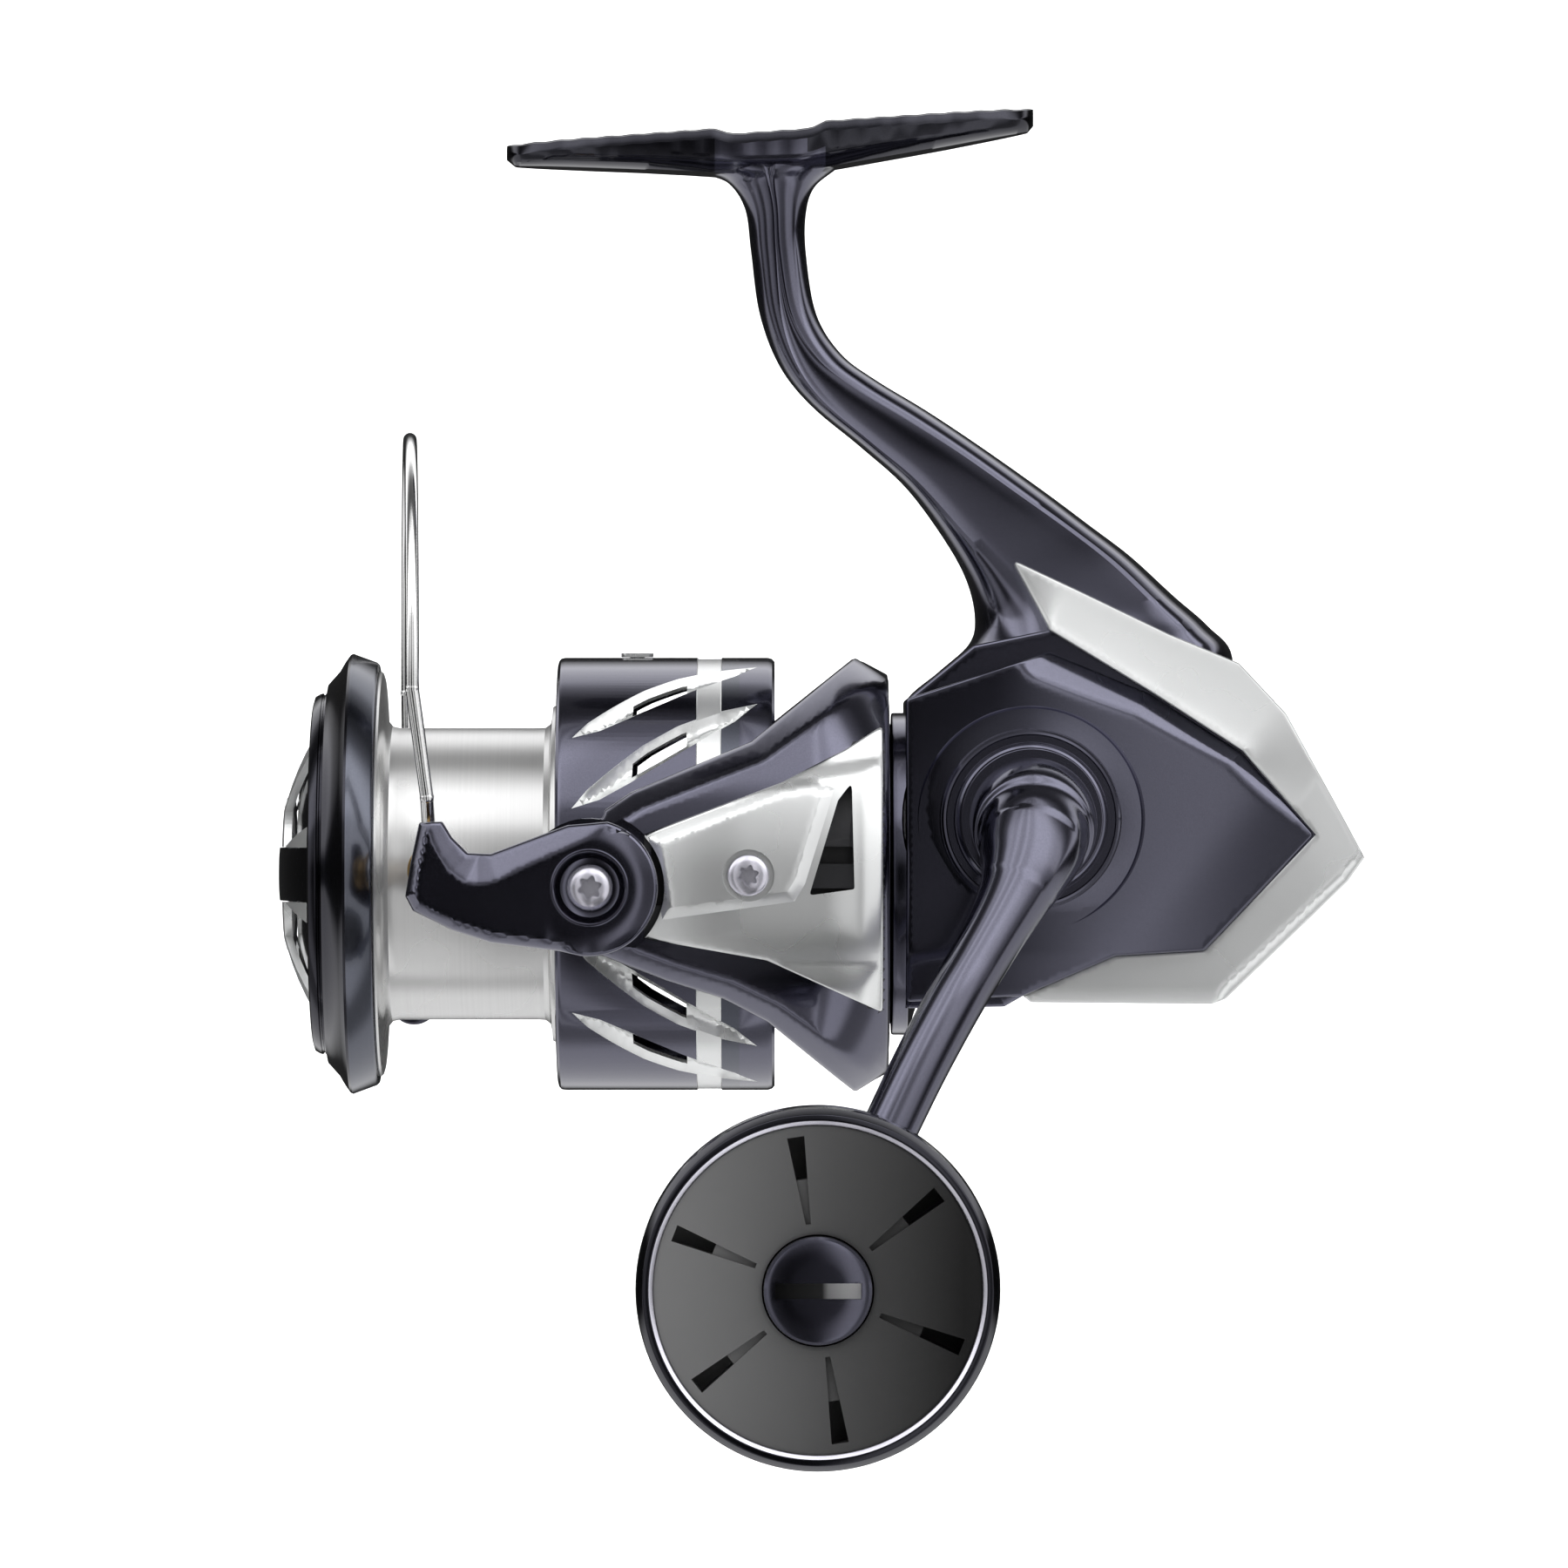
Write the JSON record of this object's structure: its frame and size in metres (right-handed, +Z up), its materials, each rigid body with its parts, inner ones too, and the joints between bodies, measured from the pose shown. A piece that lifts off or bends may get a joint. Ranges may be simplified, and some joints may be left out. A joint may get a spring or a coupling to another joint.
{
  "type": "spinning reel",
  "caption": "Spinning reel with a rod foot, geared handle and knob, rotor with flipping bail and line roller, and a drag-braked spool that strokes on the main shaft.",
  "frame": {"origin": "on the main shaft's axis, abreast of the drive gear's axis", "axes": "+Z up towards the rod, -X forward along the main shaft to the spool, -Y to the side the handle is on"},
  "size_m": [0.1274, 0.1251, 0.1549],
  "materials": {
    "coat": "gloss dark metallic coat",
    "satin": "satin silver",
    "bright": "turned and brushed",
    "steel": "machined",
    "bronze": "machined",
    "grip": "fine matte grain",
    "black": "moulded",
    "pad": "pressed fibre",
    "rubber": "plain"
  },
  "bodies": {
    "frame": {"body_frame": "coat", "side_cover": "coat", "rear_guard": "satin", "cover_screws": "steel", "guard_screws": "steel", "drive_bearings": "steel", "pinion_bearings": "steel", "one_way_clutch": "steel", "brake_ring": "rubber", "worm_bushings": "bronze", "guide_rod": "steel", "clutch_housing": "black", "housing_screws": "steel", "handle_cap": "coat", "handle_seal": "rubber"},
    "drive": {"drive_gear": "steel", "handle_arm": "coat", "handle_collar": "coat", "knob_spindle": "steel", "knob_nut": "steel"},
    "knob": {"knob_grip": "grip", "knob_rim": "coat", "knob_core": "black", "knob_bearings": "steel", "knob_cap": "coat"},
    "rotor": {"pinion": "bronze", "clutch_sleeve": "steel", "rotor_frame": "coat", "rotor_nut": "steel", "roller_arm_cover": "satin", "far_arm_cover": "satin", "arm_cover_screws": "steel", "bail_spring": "steel", "pivot_screws": "steel"},
    "kick": {"kick_lever": "steel"},
    "bail": {"roller_arm": "coat", "bail_lever": "coat", "bail_wire": "steel", "roller_bolt": "steel", "roller_bearing": "steel"},
    "roller": {"line_roller": "bronze"},
    "idle": {"idle_gear": "bronze"},
    "worm": {"worm_shaft": "steel", "worm_gear": "bronze"},
    "shaft": {"main_shaft": "steel", "slider_block": "bronze", "slider_screw": "steel", "spool_seat": "bronze", "keyed_washers": "steel"},
    "pawl": {"pawl": "bronze"},
    "spool": {"spool_barrel": "bright", "spool_lip": "coat", "spool_skirt": "coat", "friction_washers": "pad", "drag_clip": "steel"},
    "clip": {"line_clip": "satin"},
    "dial": {"drag_dial": "coat", "dial_trim": "satin", "drag_spring": "steel"},
    "nut": {"drag_nut": "steel"}
  },
  "joints": [
    {"name": "handle_turn", "type": "hinge", "parent": "frame", "child": "drive", "pos_m": [0, 0, 0.0065], "axis": [0, 1, 0], "continuous": true},
    {"name": "knob_spin", "type": "hinge", "parent": "drive", "child": "knob", "pos_m": [-0.02499, -0.07, -0.04473], "axis": [0, 1, 0], "continuous": true},
    {"name": "rotor_spin", "type": "hinge", "parent": "frame", "child": "rotor", "pos_m": [0, 0, 0], "axis": [1, 0, 0], "continuous": true},
    {"name": "idle_spin", "type": "hinge", "parent": "frame", "child": "idle", "pos_m": [-0.016, 0.00786, -0.00488], "axis": [1, 0, 0], "continuous": true},
    {"name": "worm_spin", "type": "hinge", "parent": "frame", "child": "worm", "pos_m": [0, 0.001, -0.009], "axis": [1, 0, 0], "continuous": true},
    {"name": "bail_flip", "type": "hinge", "parent": "rotor", "child": "bail", "pos_m": [-0.051, 0, -0.0013], "axis": [0, -1, 0], "range_deg": [0, 100]},
    {"name": "kick_slide", "type": "slide", "parent": "rotor", "child": "kick", "axis": [1, 0, 0], "range_m": [0, 0.0022]},
    {"name": "roller_spin", "type": "hinge", "parent": "bail", "child": "roller", "pos_m": [-0.0686, -0.0299, 0.0006], "axis": [0, 1, 0], "continuous": true},
    {"name": "shaft_stroke", "type": "slide", "parent": "frame", "child": "shaft", "axis": [-1, 0, 0], "range_m": [-0.005, 0.012]},
    {"name": "pawl_swivel", "type": "hinge", "parent": "shaft", "child": "pawl", "pos_m": [0.0099, 0.001, -0.005], "axis": [0, 0, 1], "range_deg": [-28, 28]},
    {"name": "spool_spin", "type": "hinge", "parent": "shaft", "child": "spool", "pos_m": [-0.066, 0, 0], "axis": [1, 0, 0], "continuous": true},
    {"name": "clip_lift", "type": "slide", "parent": "spool", "child": "clip", "axis": [0, 0, 1], "range_m": [0, 0.0006]},
    {"name": "dial_turn", "type": "hinge", "parent": "shaft", "child": "dial", "pos_m": [-0.082, 0, 0], "axis": [1, 0, 0], "range_deg": [-360, 360]},
    {"name": "nut_travel", "type": "slide", "parent": "dial", "child": "nut", "axis": [1, 0, 0], "range_m": [-0.00075, 0.00075]}
  ],
  "couplings": [
    {"joint": "rotor_spin", "follows": "handle_turn", "ratio": -4.8889},
    {"joint": "idle_spin", "follows": "handle_turn", "ratio": 3.3333},
    {"joint": "worm_spin", "follows": "handle_turn", "ratio": -2},
    {"joint": "kick_slide", "follows": "bail_flip", "m_per_rad": 0.00126},
    {"joint": "nut_travel", "follows": "dial_turn", "m_per_rad": 0.00011936}
  ]
}
